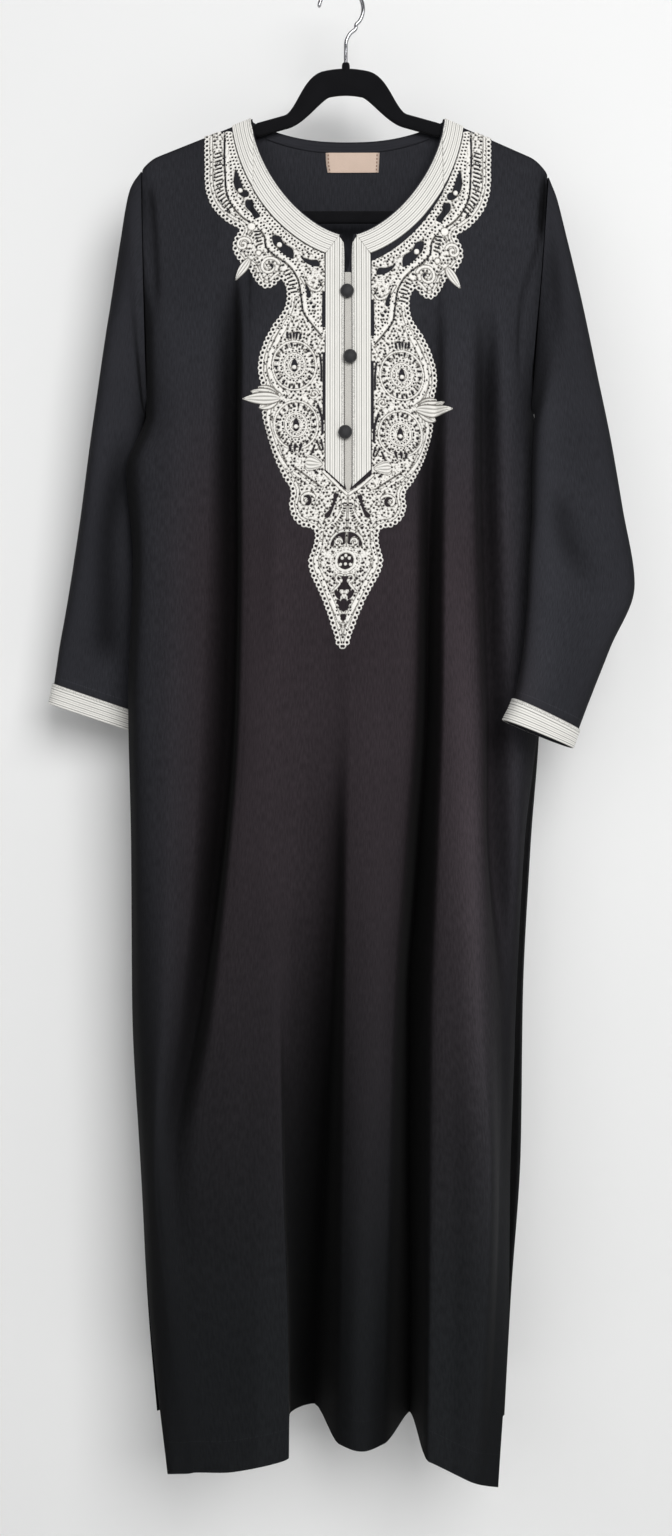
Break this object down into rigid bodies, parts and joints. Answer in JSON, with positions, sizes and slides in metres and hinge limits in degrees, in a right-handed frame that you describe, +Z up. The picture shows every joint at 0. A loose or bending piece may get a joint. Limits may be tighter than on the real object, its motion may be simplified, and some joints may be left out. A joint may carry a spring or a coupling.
{
  "type": "kaftan on a hanger",
  "caption": "Long dark crepe kaftan with pale lace on the chest, braid-edged neck, placket and cuffs, and side slits, hanging flat on a velvet hanger with a metal hook.",
  "frame": {"origin": "the inner top of the hanger's hook, where it rests on a rod", "axes": "+X to the viewer's right across the garment, +Y away from the viewer, from the front panel to the back panel, +Z up"},
  "size_m": [0.602, 0.1568, 1.5291],
  "materials": {
    "black_crepe": "soft matt crepe, fine dull weave",
    "ivory_braid": "corded braid, ribbed along its length",
    "grey_strip": "thin matt ribbon",
    "ivory_lace": "raised cord lace, matt thread",
    "black_button_cloth": "cloth stretched over a ball button, faint sheen",
    "peach_label": "plain woven satin label",
    "black_velvet": "short flocked velvet",
    "chrome": "polished plated wire"
  },
  "bodies": {
    "root": {"front": "black_crepe", "back": "black_crepe", "sleeve_left": "black_crepe", "sleeve_right": "black_crepe", "cuff_left": "ivory_braid", "cuff_right": "ivory_braid", "neckband_left": "ivory_braid", "neckband_right": "ivory_braid", "placket_left": "ivory_braid", "placket_right": "ivory_braid", "placket_strip": "grey_strip", "lace_left": "ivory_lace", "lace_right": "ivory_lace", "lace_pendant": "ivory_lace", "button_top": "black_button_cloth", "button_middle": "black_button_cloth", "button_low": "black_button_cloth", "back_neck_band": "black_crepe", "label": "peach_label", "hanger_arms": "black_velvet", "hanger_bar": "black_velvet", "hanger_hook": "chrome"}
  },
  "joints": []
}
